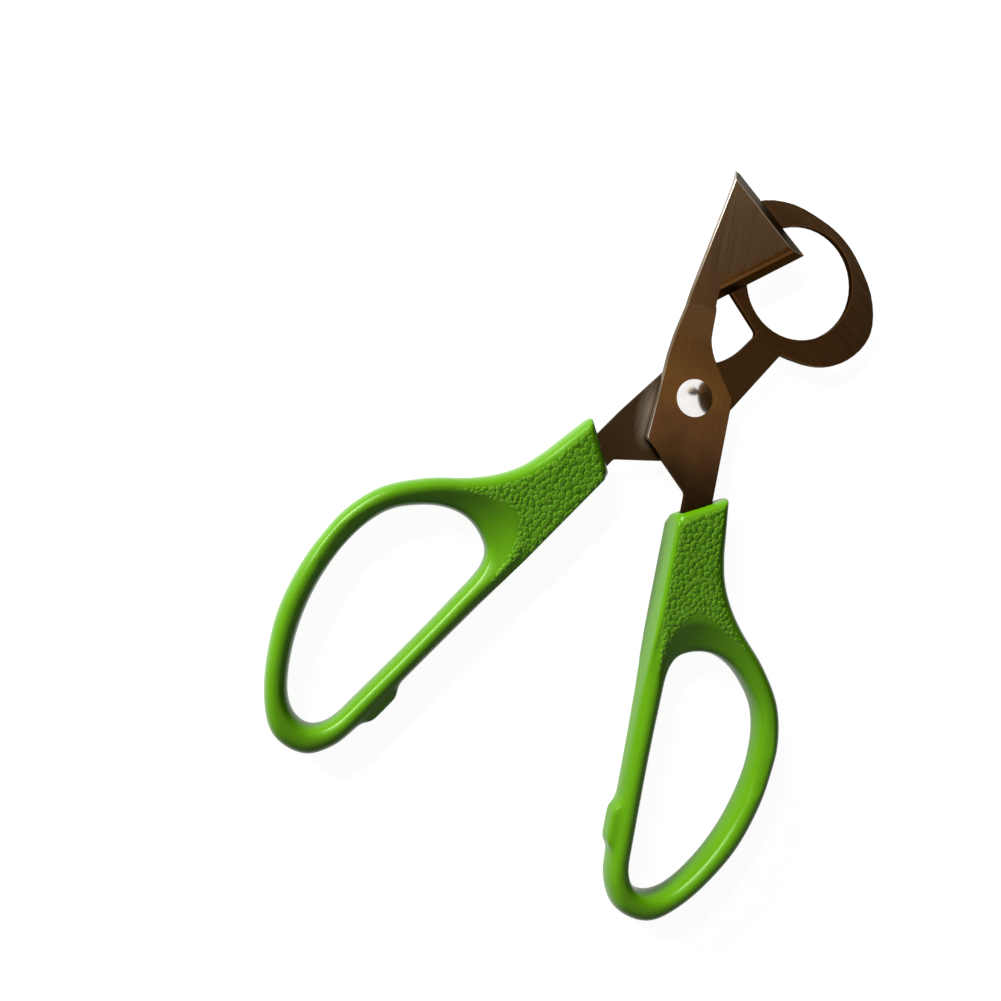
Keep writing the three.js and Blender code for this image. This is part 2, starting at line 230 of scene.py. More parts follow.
def scattered_pebbles(seed, inset, scale):
    """Centres, radii, directions, stretches and heights of one face's pebbles, in millimetres."""
    rng = np.random.default_rng(seed)
    kept = np.empty((0, 6))
    for radius in PEBBLE_RADII:
        for _ in range(TRIES):
            x, y = rng.uniform(inset, inset + GRIP_WIDTH), rng.uniform(GRIP_LOW, GRIP_HIGH)
            grown = smooth_step(0, GROWTH_LENGTH, y - hollow_border(x - inset))
            size = scale * radius * (SMALLEST + (1 - SMALLEST) * grown)
            if np.all(np.hypot(kept[:, 0] - x, kept[:, 1] - y) > size + kept[:, 2] + PEBBLE_GAP):
                oval = (rng.uniform(0, math.pi), rng.uniform(*STRETCHES), rng.uniform(*HEIGHTS))
                kept = np.vstack([kept, (x, y, size, *oval)])
    print("pebbles on one face:", len(kept))
    return kept


# %% [markdown]
# A pebble's own measure is its reach: 0 at its centre and 1 on its oval. Its side falls just
# outside the oval, and sooner where the next pebble's reach is nearly the same. The nearest five
# pebbles are enough to find the two that matter.

# %% The pebbles' heights
SIDE_END, SIDE_WIDTH = 1.25, 0.48
GROOVE_WIDTH = 0.62
DIP, DIP_REACH = 0.15, 0.7


def flat_tree(points):
    """A search tree over the first two values of each point."""
    tree = KDTree(len(points))
    for index, point in enumerate(points):
        tree.insert((point[0], point[1], 0), index)
    tree.balance()
    return tree


def pebble_height(points, pebbles):
    """Height share, 0 in the grooves and up to 1 on a pebble, at points in millimetres."""
    tree = flat_tree(pebbles)
    heights = np.zeros(len(points))
    for row, (x, y) in enumerate(points):
        reaches = []
        for _, index, _ in tree.find_n((x, y, 0), 5):
            px, py, size, turn, stretch, height = pebbles[index]
            along = (x - px) * math.cos(turn) + (y - py) * math.sin(turn)
            aside = (y - py) * math.cos(turn) - (x - px) * math.sin(turn)
            reaches.append((math.hypot(along / stretch, aside * stretch) / size, height))
        (reach, height), (next_reach, _) = sorted(reaches)[:2]
        side = max(min((SIDE_END - reach) / SIDE_WIDTH, (next_reach - reach) / GROOVE_WIDTH, 1), 0)
        dip = DIP * max(1 - reach / DIP_REACH, 0)
        heights[row] = max(height * (side * side * (3 - 2 * side) - dip), 0)
    return heights


# %% [markdown]
# The faces of the pebbled area are subdivided, which gives the pebbles quads of 0.12 mm, and the
# plain rest keeps the coarser ones. Near the grip's rounded edges the pebbles fade out, so the
# distance to the nearest vertex that has already rounded away is measured. One handle is pebbled
# right up to its straight edge and the other keeps a plain strip there. The height is kept as an
# attribute, so that the plastic's colour can paint shade into the grooves and a highlight onto the
# rims.

# %% Raise the pebbles
FACE_BAND = 0.9
FLAT_BAND = 0.7
EDGE_BAND = (0.45, 0.7)
FACING = 0.3
SEARCH_LOW = -57
FINE_MARGIN = 1
STRAIGHT_SIDE = 2
HOLLOW_FADE, DEPTH_FADE, EDGE_FADE = (-0.2, 1.4), (0.3, 0.08), 0.5


def refine_grip(shape, inset):
    """Splits the quads of both pebbled faces in three each way."""
    def on_grip(face):
        centre = face.calc_center_median() / MM
        flat = min(abs(centre.z - FACE_TOP), abs(centre.z)) < FLAT_BAND
        return flat and centre.y > hollow_border(centre.x - inset) - FINE_MARGIN

    grip = [face for face in shape.faces if on_grip(face)]
    edges = list({edge for face in grip for edge in face.edges})
    bmesh.ops.subdivide_edges(shape, edges=edges, cuts=2, use_grid_fill=True)
    shape.normal_update()


def raise_pebbles(shape, top, inset, seed, scale, margin, plain_edge):
    """Raises one face's pebbles and stores their heights and the pebbled area's share."""
    height = FACE_TOP if top else 0
    outward = 1 if top else -1
    chosen = [
        vert for vert in shape.verts
        if abs(vert.co.z / MM - height) < FACE_BAND and outward * vert.normal.z > FACING
        and vert.co.y / MM > SEARCH_LOW
    ]
    spots = np.array([vert.co[:] for vert in chosen]) / MM
    border = hollow_border(spots[:, 0] - inset)
    depth = np.abs(spots[:, 2] - height)
    edge = (depth > EDGE_BAND[0]) & (depth < EDGE_BAND[1]) & (spots[:, 1] > border)
    outside = flat_tree(spots[edge & ((spots[:, 0] > inset + STRAIGHT_SIDE) | plain_edge)])
    inward = np.array([outside.find((x, y, 0))[2] for x, y, _ in spots])
    weight = smooth_step(*HOLLOW_FADE, spots[:, 1] - border) * smooth_step(*DEPTH_FADE, depth)
    weight *= smooth_step(margin, margin + EDGE_FADE, inward)
    heights = pebble_height(spots[:, :2], scattered_pebbles(seed, inset, scale))
    pebble, grip = (shape.verts.layers.float[word] for word in ("pebble", "grip"))
    for vert, share, amount in zip(chosen, heights, weight):
        vert[pebble] = float(share * amount)
        vert[grip] = float(amount)
        vert.co += vert.normal * float(PEBBLE_RISE * amount * share)


# %% [markdown]
# Both handles come from one function, because they are the same moulding mirrored. The inset is
# where the straight side lies, the scale is that of the pebbles, and the margin is how far from
# the rounded edge they start. A mirrored frame turns the faces inside out, so the left handle's
# are turned back at the end.

# %% Make the handles


def make_handle(node, name, side, inset, seed, scale, margin, plain_edge):
    """One handle from its solid: even quads, soft bars, pebbled grip on both faces."""
    place = half_frame(side)
    shape = joined_copy(node)
    bmesh.ops.transform(shape, matrix=place.inverted(), verts=shape.verts)
    bmesh.ops.recalc_face_normals(shape, faces=shape.faces)
    shape = remeshed(shape, VOXEL)
    soften(shape, inset)
    refine_grip(shape, inset)
    for word in ("pebble", "grip"):
        shape.verts.layers.float.new(word)
    for top in (True, False):
        raise_pebbles(shape, top, inset, seed + int(top), scale, margin, plain_edge)
    bmesh.ops.transform(shape, matrix=place, verts=shape.verts)
    if side < 0:
        bmesh.ops.reverse_faces(shape, faces=shape.faces)
    return to_object(shape, name)


cutter_grip = make_handle(
    "cutter_handle", "cutter_grip", side=1, inset=0.7, seed=7, scale=0.82, margin=0.5,
    plain_edge=True,
)
ring_grip = make_handle(
    "ring_handle", "ring_grip", side=-1, inset=1.5, seed=21, scale=0.9, margin=0.6,
    plain_edge=False,
)
for grip, node, body in (
    (cutter_grip, "cutter_handle", "cutter_half"),
    (ring_grip, "ring_handle", "ring_half"),
):
    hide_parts(node)
    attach(grip, body)

# %% [markdown]
# The steel's edges look quite unlike its faces, and their light is painted: a painted highlight on
# the long outer edge and along the upper edge of the cutter's raised head, painted shade on the cut
# walls, the bent flange and the ramp of the cutter's neck, and a painted gold glint where the sheet
# rolls over on the raised head. Which is which can be told from how steep a face is and which way
# it looks, so it is stored on each face for the material. Slopes go from 0 on a flat face to 1 on a
# wall, and places along the blade are in millimetres from the rivet.

# %% Mark a blade's edges
# Where the painted highlight, painted shade and painted gold glint go, by slope and place.
OUTER_FACING, OUTER_SLOPE = -0.35, 0.03
WALL_SLOPE = 0.28
HEAD_FROM, HEAD_SLOPE, GOLDEN_SLOPE = 17, 0.004, 0.005
BENT_SLOPE, BENT_RANGE = 0.15, 0.2
# Painted highlight on the upper edge of the cutter's raised head.
UPPER_PAINTED_HIGHLIGHT = 0.45
# Painted shade on the ramp of the cutter's neck.
NECK_FROM, NECK_TO, NECK_SLOPE, NECK_PAINTED_SHADE = 10, 18, 0.012, 0.36


def mark_edges(shape, side):
    """Stores on each face its painted highlight, painted shade and painted gold glint, 0 to 1."""
    layers = shape.faces.layers.float
    bright, dark, golden = (layers.new(word) for word in ("bright", "dark", "golden"))
    back_turn = Matrix.Rotation(-side * HALF_TURN, 3, "Z")
    for face in shape.faces:
        facing = back_turn @ face.normal
        slope = 1 - abs(facing.z)
        up = (back_turn @ (face.calc_center_median() - rivet)).y / MM
        # Painted light by branch: highlight on the outer edge, shade on the walls, gold glint with
        # shade and highlight on the head, shade on the neck.
        if side > 0 and facing.x < OUTER_FACING and slope > OUTER_SLOPE:
            face[bright] = 1
        elif slope > WALL_SLOPE:
            face[dark] = 1
        elif slope > HEAD_SLOPE and facing.z > 0 and up > HEAD_FROM:
            face[golden] = min(1, slope / GOLDEN_SLOPE)
            face[dark] = max(0, (slope - BENT_SLOPE) / BENT_RANGE) if facing.y < 0 else 0
            face[bright] = UPPER_PAINTED_HIGHLIGHT if facing.y > 0 else 0
        elif side > 0 and facing.z > 0 and facing.y < 0 and NECK_FROM < up < NECK_TO:
            face[dark] = NECK_PAINTED_SHADE * min(1, slope / NECK_SLOPE)


# %% [markdown]
# The blades are stamped from sheet steel and tumbled, which breaks their edges by a tenth of a
# millimetre or so. That thin round edge is what catches the light, so each sharp edge of the
# solid gets a bevel. Flat triangles are dissolved into large faces first, so that the bevel
# follows the real edges only. The large faces then decide the normals, because normals shared
# with the narrow bevels would bend the light on the flat steel.

# %% Make the blades
FLAT_ANGLE = math.radians(0.5)
BROKEN_ANGLE = math.radians(28)
SHARP_ANGLE = math.radians(32)


def weigh_normals(piece):
    """Lets the large faces decide the normals, so that they stay flat right up to their edges."""
    weighted = piece.modifiers.new("weighted", "WEIGHTED_NORMAL")
    weighted.weight = 100
    weighted.keep_sharp = True
    evaluated = piece.evaluated_get(bpy.context.evaluated_depsgraph_get())
    plain, flat = piece.data, bpy.data.meshes.new_from_object(evaluated)
    piece.modifiers.clear()
    piece.data = flat
    bpy.data.meshes.remove(plain)
    flat.name = piece.name


def make_blade(node, name, side, width):
    """A blade from its solid: sharp edges broken by that width, and its edge faces marked."""
    shape = joined_copy(node)
    bmesh.ops.dissolve_limit(
        shape, angle_limit=FLAT_ANGLE, verts=shape.verts, edges=shape.edges,
        use_dissolve_boundaries=False,
    )
    sharp = [
        edge for edge in shape.edges
        if len(edge.link_faces) == 2 and edge.calc_face_angle() > BROKEN_ANGLE
    ]
    bmesh.ops.bevel(
        shape, geom=sharp, offset=width, offset_type="OFFSET", segments=2, profile=0.5,
        affect="EDGES", clamp_overlap=False, material=-1,
    )
    bmesh.ops.triangulate(shape, faces=[face for face in shape.faces if len(face.verts) > 4])
    shape.normal_update()
    mark_edges(shape, side)
    piece = to_object(shape, name)
    piece.data.set_sharp_from_angle(angle=SHARP_ANGLE)
    weigh_normals(piece)
    return piece


cutter_steel = make_blade("cutter_blade", "cutter_steel", side=1, width=0.14 * MM)
ring_steel = make_blade("ring_blade", "ring_steel", side=-1, width=0.1 * MM)
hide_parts("cutter_blade")
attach(cutter_steel, "cutter_half")
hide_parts("ring_blade")
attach(ring_steel, "ring_half")

# %% [markdown]
# The rivet is a polished dome on each side. It is a turned shape, so its half section is drawn
# as a chain of vertices and spun round the rivet's axis. The solid keeps a gap under each head
# so that the joint can turn; here the heads sit down on the blades. The heads, the shank and
# the round of the domes are given by their radii in millimetres.

# %% Make the rivet
HEAD = 3.6
SHANK = 2.3
DOME = 8.7
SHEET, BLADE_GAP, SEAT = 1.5, 0.3, 0.02
DOME_STEPS, TURN_STEPS = 12, 72
RIM_ANGLE = math.radians(50)


def dome_drop(radius):
    """How far the dome has fallen at that radius from the axis."""
    return DOME - math.sqrt(DOME ** 2 - radius ** 2)


def make_rivet():
    """Both heads and the shank, spun from one half section in millimetres."""
    blade_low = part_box("ring_blade")[0][2] / MM
    blade_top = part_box("ring_blade")[1][2] / MM + BLADE_GAP + SHEET
    radii = [HEAD * step / DOME_STEPS for step in range(DOME_STEPS + 1)]
    upper = [(radius, rivet_high.z / MM - dome_drop(radius)) for radius in radii]
    lower = [(radius, rivet_low.z / MM + dome_drop(radius)) for radius in reversed(radii)]
    middle = [(HEAD, blade_top + SEAT), (SHANK, blade_top + SEAT)]
    middle += [(SHANK, blade_low - SEAT), (HEAD, blade_low - SEAT)]
    section = upper + middle + lower
    shape = bmesh.new()
    chain = [shape.verts.new((radius * MM, 0, height * MM)) for radius, height in section]
    edges = [shape.edges.new(pair) for pair in zip(chain, chain[1:])]
    bmesh.ops.spin(
        shape, geom=chain + edges, cent=(0, 0, 0), axis=(0, 0, 1), angle=math.tau,
        steps=TURN_STEPS, use_merge=True,
    )
    bmesh.ops.remove_doubles(shape, verts=shape.verts, dist=MERGE)
    bmesh.ops.recalc_face_normals(shape, faces=shape.faces)
    bmesh.ops.translate(shape, vec=(rivet.x, rivet.y, 0), verts=shape.verts)
    piece = to_object(shape, "rivet_domes")
    piece.data.set_sharp_from_angle(angle=RIM_ANGLE)
    return piece


rivet_domes = make_rivet()
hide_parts("pivot_rivet")
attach(rivet_domes, "ring_half")

# %% [markdown]
# Materials are built from nodes. One function adds a node of any kind, with its settings, its
# ramp's colours and its links: a socket is given by its name, or by i and its number where names
# repeat. Another turns a colour as it is written on screen into the linear values that the
# shader reckons with. Every pattern is laid out in metres on the object's own coordinates.

# %% Helpers for materials


def linear(hex_colour):
    """sRGB hex to a linear RGBA tuple."""
    values = [int(hex_colour[i:i + 2], 16) / 255 for i in (1, 3, 5)]
    return tuple(v / 12.92 if v <= 0.04045 else ((v + 0.055) / 1.055) ** 2.4 for v in values) + (1,)


def add(tree, kind, settings=None, stops=(), **inputs):
    """Adds a node; settings are its properties, stops its ramp's colours, inputs its sockets."""
    node = tree.nodes.new(kind)
    for key, value in (settings or {}).items():
        setattr(node, key, value)
    if stops:
        ends = node.color_ramp.elements
        ends[0].position, ends[0].color = stops[0][0], linear(stops[0][1])
        ends[1].position, ends[1].color = stops[-1][0], linear(stops[-1][1])
        for position, colour in stops[1:-1]:
            ends.new(position).color = linear(colour)
    for key, value in inputs.items():
        numbered = key[0] == "i" and key[1:].isdigit()
        socket = node.inputs[int(key[1:]) if numbered else key.replace("_", " ")]
        if isinstance(value, bpy.types.NodeSocket):
            tree.links.new(value, socket)
        else:
            socket.default_value = value
    return node


def new_material(name):
    """An empty node material with its output, its shader and object coordinates."""
    material = bpy.data.materials.new(name)
    material.use_nodes = True
    tree = material.node_tree
    tree.nodes.clear()
    output = add(tree, "ShaderNodeOutputMaterial")
    shader = add(tree, "ShaderNodeBsdfPrincipled")
    tree.links.new(shader.outputs[0], output.inputs["Surface"])
    place = add(tree, "ShaderNodeTexCoord").outputs["Object"]
    return material, tree, shader, place


# %% [markdown]
# The handles are polypropylene, coloured in the mass and moulded in a polished tool. The eye
# gets a deep grass green, a gloss that keeps a trace of the green, and a very slight waviness
# from shrinking. The pebbles' rims get a painted highlight a little paler than the green, and the
# grooves between them get painted shade.

# %% Moulded green polypropylene
BODY_GREENS = [(0.3, "#558f05"), (0.7, "#5b9707")]
# Painted light on the pebbles: the groove end of the ramp is painted shade and the pale stop is a
# painted highlight on the rims.
PEBBLE_GREENS_PAINTED_LIGHT = [
    (0.0, "#4c8604"), (0.14, "#518d06"), (0.33, "#86bd42"), (0.52, "#66a31a"), (0.8, "#538d07"),
]


def moulded_polypropylene():
    material, tree, shader, place = new_material("moulded_green_polypropylene")
    flow = add(tree, "ShaderNodeTexNoise", Vector=place, Scale=1 / (14 * MM), Detail=3.0,
               Roughness=0.5)
    body = add(tree, "ShaderNodeValToRGB", stops=BODY_GREENS, Fac=flow.outputs["Fac"])
    pebble = add(tree, "ShaderNodeAttribute", {"attribute_name": "pebble"}).outputs["Fac"]
    grip = add(tree, "ShaderNodeAttribute", {"attribute_name": "grip"}).outputs["Fac"]
    # The pebble ramp paints shade into the grooves and a highlight onto the rims.
    pebbled = add(tree, "ShaderNodeValToRGB", stops=PEBBLE_GREENS_PAINTED_LIGHT, Fac=pebble)
    colour = add(tree, "ShaderNodeMix", {"data_type": "RGBA"},
                 i0=grip, i6=body.outputs["Color"], i7=pebbled.outputs["Color"])
    tree.links.new(colour.outputs[2], shader.inputs["Base Color"])
    haze = add(tree, "ShaderNodeTexNoise", Vector=place, Scale=1 / (6 * MM), Detail=2.0,
               Roughness=0.5)
    rough = add(tree, "ShaderNodeMapRange", Value=haze.outputs["Fac"], From_Min=0.3, From_Max=0.7,
                To_Min=0.23, To_Max=0.28)
    tree.links.new(rough.outputs[0], shader.inputs["Roughness"])
    waves = add(tree, "ShaderNodeTexNoise", Vector=place, Scale=1 / (5 * MM), Detail=1.0,
                Roughness=0.5)
    bump = add(tree, "ShaderNodeBump", Strength=0.2, Distance=0.05 * MM,
               Height=waves.outputs["Fac"])
    tree.links.new(bump.outputs[0], shader.inputs["Normal"])
    shader.inputs["IOR"].default_value = 1.46
    shader.inputs["Specular IOR Level"].default_value = 0.27
    shader.inputs["Specular Tint"].default_value = linear("#dcf4bc")
    return material


plastic = moulded_polypropylene()
cutter_grip.data.materials.append(plastic)
ring_grip.data.materials.append(plastic)

# %% [markdown]
# The blades are stainless steel sheet, ground with a fine belt that leaves long faint scratches.
# They run along the cutter's length and across the ring blade's arm. The steel mirrors brown
# surroundings, and the tone shifts slowly along a blade: golden by the rivet, almost black at the
# tang. So the steel gets a painted reflection, a ramp of bronze tones along its own length, with
# painted shade that darkens it towards the tang. The scratches of 0.05 mm are drawn about five
# times coarser, because finer ones wouldn't show. The edges get painted light too: a painted
# highlight on the outer long edge, painted shade on the cut walls and the bent cutting edges, and a
# painted gold glint where the sheet rolls over into the lower one.

# %% Ground stainless steel
BLADE_FROM, BLADE_TO = -22 * MM, 46 * MM
# Colour of the painted gold glint where the sheet rolls over.
PAINTED_GLINT = "#7c5228"


def along_blade(stops):
    """Ramp stops from (millimetres along the blade, hex colour)."""
    length = BLADE_TO - BLADE_FROM
    return [((position * MM - BLADE_FROM) / length, colour) for position, colour in stops]


def ground_steel(name, side, grain_turn, stops, painted_shade_stops, painted_highlight_stops, rough_low, rough_high):
    """Ground steel in a half's own frame, its scratches turned by grain_turn."""
    material, tree, shader, place = new_material(name)
    own = add(
        tree, "ShaderNodeMapping", {"vector_type": "TEXTURE"}, Vector=place,
        Location=(rivet.x, rivet.y, 0), Rotation=(0, 0, side * HALF_TURN),
    ).outputs["Vector"]
    turned = add(tree, "ShaderNodeMapping", Vector=own, Rotation=(0, 0, grain_turn))
    squeezed = add(tree, "ShaderNodeMapping", Vector=turned.outputs["Vector"], Scale=(1, 0.015, 1))
    scratch = add(tree, "ShaderNodeTexNoise", Vector=squeezed.outputs["Vector"],
                  Scale=1 / (0.25 * MM), Detail=4.0, Roughness=0.6)
    clouds = add(tree, "ShaderNodeTexNoise", Vector=own, Scale=1 / (9 * MM), Detail=3.0,
                 Roughness=0.55)

    shift = add(tree, "ShaderNodeMapRange", Value=clouds.outputs["Fac"], From_Min=0.3, From_Max=0.7,
                To_Min=-2.5 * MM, To_Max=2.5 * MM)
    up = add(tree, "ShaderNodeSeparateXYZ", Vector=own).outputs["Y"]
    wavy = add(tree, "ShaderNodeMath", {"operation": "ADD"}, i0=up, i1=shift.outputs[0])
    length = add(tree, "ShaderNodeMapRange", Value=wavy.outputs[0],
                 From_Min=BLADE_FROM, From_Max=BLADE_TO)
    # Painted reflection along the blade on the faces, painted shade on the walls and painted
    # highlight on the edges; the marked faces then mix in painted gold glint, shade and highlight.
    ramps = [
        add(tree, "ShaderNodeValToRGB", stops=along_blade(colours), Fac=length.outputs[0])
        for colours in (stops, painted_shade_stops, painted_highlight_stops)
    ]
    painted_tone, painted_shade_tone, painted_highlight_tone = (node.outputs["Color"] for node in ramps)
    for word, colour in (("golden", linear(PAINTED_GLINT)), ("dark", painted_shade_tone), ("bright", painted_highlight_tone)):
        share = add(tree, "ShaderNodeAttribute", {"attribute_name": word}).outputs["Fac"]
        mixed = add(tree, "ShaderNodeMix", {"data_type": "RGBA"}, i0=share, i6=painted_tone, i7=colour)
        painted_tone = mixed.outputs[2]
    value = add(tree, "ShaderNodeMapRange", Value=scratch.outputs["Fac"], From_Min=0.3,
                From_Max=0.7, To_Min=0.9, To_Max=1.11)
    grained = add(tree, "ShaderNodeHueSaturation", Value=value.outputs[0], Color=painted_tone)
    tree.links.new(grained.outputs["Color"], shader.inputs["Base Color"])

    rough = add(tree, "ShaderNodeMapRange", Value=scratch.outputs["Fac"], From_Min=0.3,
                From_Max=0.7, To_Min=rough_low, To_Max=rough_high)
    tree.links.new(rough.outputs[0], shader.inputs["Roughness"])
    bump = add(tree, "ShaderNodeBump", Strength=0.3, Distance=0.01 * MM,
               Height=scratch.outputs["Fac"])
    tree.links.new(bump.outputs[0], shader.inputs["Normal"])
    shader.inputs["Metallic"].default_value = 1
    shader.inputs["Specular Tint"].default_value = linear("#bfbab4")
    return material, tree, shader, place


# %% [markdown]
# The cutter's colours, from its tang to its point: the painted reflection on its face, the painted
# shade on its cut walls and the painted highlight on its edge. The numbers are millimetres from the
# rivet along the blade.

# %% The cutter's steel
# Painted reflection of brown surroundings, darkened by painted shade towards the tang.
CUTTER_FACE_PAINTED_REFLECTION = [
    (-20, "#2a1a0b"), (-16.5, "#302010"), (-10, "#54391f"), (-6, "#69462a"), (2, "#7c5529"),
    (12, "#6f4c28"), (17, "#6d4d2e"), (23, "#6f5437"), (33, "#775d42"), (44, "#80684a"),
]
# Painted shade on the cutter's cut walls.
CUTTER_WALLS_PAINTED_SHADE = [(-20, "#241709"), (30, "#2c1e10"), (37, "#32251a"), (44, "#55524c")]
# Painted highlight on the cutter's outer edge and the raised head's upper edge.
CUTTER_EDGE_PAINTED_HIGHLIGHT = [
    (-9.3, "#2c1c0c"), (-8.3, "#cfc8bb"), (-3, "#a1937f"), (6, "#7b6a55"), (20, "#7b6a55"),
    (30, "#b3a795"), (36, "#c9c1b5"), (44, "#cfc8bd"),
]
cutter_metal = ground_steel(
    "ground_stainless_steel_cutter", side=1, grain_turn=0, stops=CUTTER_FACE_PAINTED_REFLECTION,
    painted_shade_stops=CUTTER_WALLS_PAINTED_SHADE, painted_highlight_stops=CUTTER_EDGE_PAINTED_HIGHLIGHT, rough_low=0.3, rough_high=0.4,
)[0]
cutter_steel.data.materials.append(cutter_metal)
print(cutter_metal.name, "is on", cutter_steel.name)

# %% [markdown]
# The ring blade's tang carries a pale streaky patch where the cutter's edge slides over it each
# time the scissors close. It is a soft oval, laid along that edge and broken up by scratches.

# %% The ring blade's steel and its rub mark
# Painted reflection of brown surroundings on the ring blade's face.
RING_FACE_PAINTED_REFLECTION = [
    (-20, "#3a2a15"), (-10, "#43301c"), (-2, "#442f18"), (12, "#4e341b"), (21, "#513519"),
    (32, "#553a1f"), (38, "#5a4026"), (46, "#644c32"),
]
# Painted shade on the ring blade's walls.
RING_WALLS_PAINTED_SHADE = [(-20, "#1c1106"), (44, "#1c1106")]
# Painted highlight on the ring blade's marked edges.
RING_EDGE_PAINTED_HIGHLIGHT = [(-20, "#4a3a26"), (44, "#4a3a26")]
RUB_ACROSS, RUB_UP = -5.1 * MM, 17.9 * MM
RUB_WIDTH, RUB_LENGTH = 3.6 * MM, 8 * MM
RUB_TURN = HALF_TURN + math.radians(-3)
RUB_PALE = "#9a9080"

ring_metal, tree, shader, place = ground_steel(
    "ground_stainless_steel_ring", side=-1, grain_turn=math.pi / 2, stops=RING_FACE_PAINTED_REFLECTION,
    painted_shade_stops=RING_WALLS_PAINTED_SHADE, painted_highlight_stops=RING_EDGE_PAINTED_HIGHLIGHT, rough_low=0.34, rough_high=0.44,
)
rub_place = add(
    tree, "ShaderNodeMapping", {"vector_type": "TEXTURE"}, Vector=place,
    Location=(RUB_ACROSS, RUB_UP, 0), Rotation=(0, 0, RUB_TURN), Scale=(RUB_WIDTH, RUB_LENGTH, 1),
).outputs["Vector"]
oval = add(tree, "ShaderNodeTexGradient", {"gradient_type": "SPHERICAL"}, Vector=rub_place)
lines = add(tree, "ShaderNodeMapping", Vector=rub_place, Scale=(9, 1.2, 1))
streaks = add(tree, "ShaderNodeTexNoise", Vector=lines.outputs["Vector"], Scale=1.0, Detail=5.0,
              Roughness=0.65)
strength = add(tree, "ShaderNodeMapRange", Value=streaks.outputs["Fac"], From_Min=0.35,
               From_Max=0.65, To_Min=0.45, To_Max=1.1)
rubbed = add(tree, "ShaderNodeMath", {"operation": "MULTIPLY"},
             i0=oval.outputs["Fac"], i1=strength.outputs[0])
base = shader.inputs["Base Color"].links[0].from_socket
patched = add(tree, "ShaderNodeMix", {"data_type": "RGBA"},
              i0=rubbed.outputs[0], i6=base, i7=linear(RUB_PALE))
tree.links.new(patched.outputs[2], shader.inputs["Base Color"])
ring_steel.data.materials.append(ring_metal)
print(ring_metal.name, "is on", ring_steel.name)

# %% [markdown]
# The rivet's heads are polished stainless steel. The eye gets a small mirror that wear has made
# a trace cloudy.

# %% Polished stainless steel


def polished_steel():
    material, tree, shader, place = new_material("polished_stainless_steel")
    wear = add(tree, "ShaderNodeTexNoise", Vector=place, Scale=1 / (1.5 * MM), Detail=4.0,
               Roughness=0.6)
    colour = add(tree, "ShaderNodeValToRGB", stops=[(0.35, "#efece8"), (0.65, "#f6f4f1")],
                 Fac=wear.outputs["Fac"])
    tree.links.new(colour.outputs["Color"], shader.inputs["Base Color"])
    rough = add(tree, "ShaderNodeMapRange", Value=wear.outputs["Fac"], From_Min=0.3, From_Max=0.7,
                To_Min=0.13, To_Max=0.18)
    tree.links.new(rough.outputs[0], shader.inputs["Roughness"])
    shader.inputs["Metallic"].default_value = 1
    return material


rivet_domes.data.materials.append(polished_steel())

# %% [markdown]
# The scissors lie on white paper that runs out of the picture on all sides. The camera, mirrors
# and glass see its own white, and the soft shadow still shows, because a share of what the
# camera sees is light that the paper really gets. The paper lies just under the pebbles of the
# grips' undersides, which reach about a tenth of a millimetre below the solids.

# %% The paper
PAPER_LEVEL = -0.13 * MM
PAPER_GLOW = 0.945

shape = bmesh.new()
bmesh.ops.create_grid(shape, x_segments=2, y_segments=2, size=3.0)
bmesh.ops.translate(shape, vec=(0, 0, PAPER_LEVEL), verts=shape.verts)
floor = to_object(shape, "paper_floor")


def own_white_share(tree):
    """1 for rays that should see the white itself: from the camera, mirrors and glass."""
    path = add(tree, "ShaderNodeLightPath")
    mirrors = add(tree, "ShaderNodeMath", {"operation": "MAXIMUM"},
                  i0=path.outputs["Is Camera Ray"], i1=path.outputs["Is Glossy Ray"])
    return add(tree, "ShaderNodeMath", {"operation": "MAXIMUM"}, i0=mirrors.outputs[0],
               i1=path.outputs["Is Transmission Ray"]).outputs[0]


paper, tree, shader, place = new_material("matt_white_paper")
fibre = add(tree, "ShaderNodeTexNoise", Vector=place, Scale=1 / (3 * MM), Detail=2.0)
greys = add(tree, "ShaderNodeValToRGB", stops=[(0.3, "#9a9a9a"), (0.7, "#9d9d9d")],
            Fac=fibre.outputs["Fac"])
tree.links.new(greys.outputs["Color"], shader.inputs["Base Color"])
shader.inputs["Roughness"].default_value = 1
shader.inputs["Specular IOR Level"].default_value = 0
shader.inputs["Emission Color"].default_value = linear("#ffffff")
glow = add(tree, "ShaderNodeMath", {"operation": "MULTIPLY"},
           i0=own_white_share(tree), i1=PAPER_GLOW)
tree.links.new(glow.outputs[0], shader.inputs["Emission Strength"])
floor.data.materials.append(paper)

# %% [markdown]
# The world is the same white for the camera, mirrors and glass, and for all other rays it is a
# dim room, so that the shadow sides don't fill up with light.

# %% The world
ROOM_LIGHT = 0.05

world = bpy.data.worlds.new("studio")
bpy.context.scene.world = world
world.use_nodes = True
sky = world.node_tree
sky.nodes.clear()
room = add(sky, "ShaderNodeBackground", Color=linear("#ffffff"), Strength=ROOM_LIGHT)
white = add(sky, "ShaderNodeBackground", Color=linear("#ffffff"), Strength=1.0)
chosen = add(sky, "ShaderNodeMixShader", i0=own_white_share(sky), i1=room.outputs[0],
             i2=white.outputs[0])
sky.links.new(chosen.outputs[0], add(sky, "ShaderNodeOutputWorld").inputs["Surface"])
print("world:", world.name)

# %% [markdown]
# The photograph is lit from its upper left by a low, broad light such as a window. The side of
# each bar that faces it is pale and the flat tops, which it only grazes, stay deep green. A large
# lamp stands there, and two long narrow ones, like the bright slits of a blind, draw the thin
# double lines on the bars and the crescents on the pebbles.

# %% The lamps


def toward(aim_across, aim_up, height):
    """A direction in the picture's own axes: right, up and out of the table."""
    return (aim_across * across + aim_up * upward + height * normal).normalized()


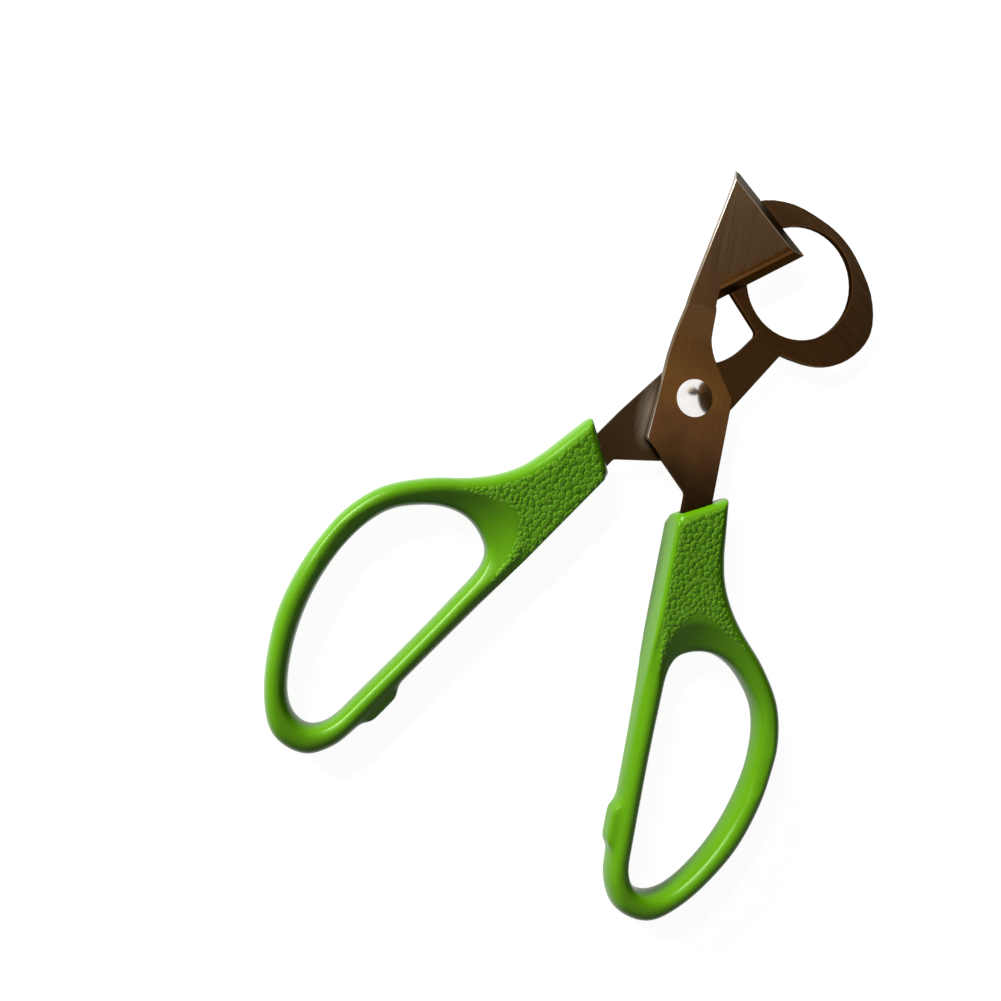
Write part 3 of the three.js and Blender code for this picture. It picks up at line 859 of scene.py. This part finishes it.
def lamp(name, direction, length, width, share, distance=0.8):
    """A level rectangular lamp; share is how bright it makes white paper that faces it."""
    data = bpy.data.lights.new(name, "AREA")
    data.shape = "RECTANGLE"
    data.size, data.size_y = length, width
    data.energy = share * math.pi ** 2 * distance ** 2
    light = bpy.data.objects.new(name, data)
    level = normal.cross(direction).normalized()
    axes = Matrix((level, direction.cross(level), direction)).transposed()
    light.matrix_world = Matrix.Translation(rivet + distance * direction) @ axes.to_4x4()
    bpy.context.scene.collection.objects.link(light)


lamp("window", toward(-0.74, 0.66, 0.2), length=0.45, width=0.4, share=1.0)
lamp("low_slit", toward(-0.62, 0.76, 0.24), length=0.5, width=0.11, share=1.05)
lamp("high_slit", toward(-0.5, 0.6, 0.68), length=0.35, width=0.05, share=0.2)

# %% [markdown]
# A polished dome shows nothing but what stands round it. Two brown felt forms, seen by mirrors
# alone, give the rivet its dark side and its spot, as the room round it does. Felt is cloth with
# no gloss of its own, so it stays brown however the lamps stand. They aren't part of the object.

# %% The felt forms


def felt_form(name, direction, distance, radius, stretch, dark, light):
    """A ball, stretched across the picture, that only mirrors see."""
    shape = bmesh.new()
    bmesh.ops.create_icosphere(shape, subdivisions=4, radius=radius)
    bmesh.ops.scale(shape, vec=(stretch, 1, 1), verts=shape.verts)
    picture_turn = Matrix.Rotation(PICTURE_TURN, 3, "Z")
    bmesh.ops.rotate(shape, cent=(0, 0, 0), matrix=picture_turn, verts=shape.verts)
    bmesh.ops.translate(shape, vec=rivet + distance * direction, verts=shape.verts)
    form = to_object(shape, name)
    for ray in ("camera", "diffuse", "shadow", "transmission"):
        setattr(form, "visible_" + ray, False)
    felt, tree, shader, place = new_material(name)
    wool = add(tree, "ShaderNodeTexNoise", Vector=place, Scale=12.0, Detail=3.0)
    colour = add(tree, "ShaderNodeValToRGB", stops=[(0.35, dark), (0.65, light)],
                 Fac=wool.outputs["Fac"])
    tree.links.new(colour.outputs["Color"], shader.inputs["Base Color"])
    shader.inputs["Roughness"].default_value = 1
    shader.inputs["Specular IOR Level"].default_value = 0
    form.data.materials.append(felt)


felt_form(
    "dark_brown_felt", toward(0.85, 0.12, 0.53), distance=0.45, radius=0.24, stretch=1,
    dark="#2a1806", light="#4c3410",
)
felt_form(
    "grey_brown_felt", toward(0.23, 0.36, 0.9), distance=0.3, radius=0.055, stretch=1.35,
    dark="#9a8676", light="#c4b2a2",
)

# %% [markdown]
# The Standard view shows colours as they are written.

# %% The view
bpy.context.scene.view_settings.view_transform = "Standard"
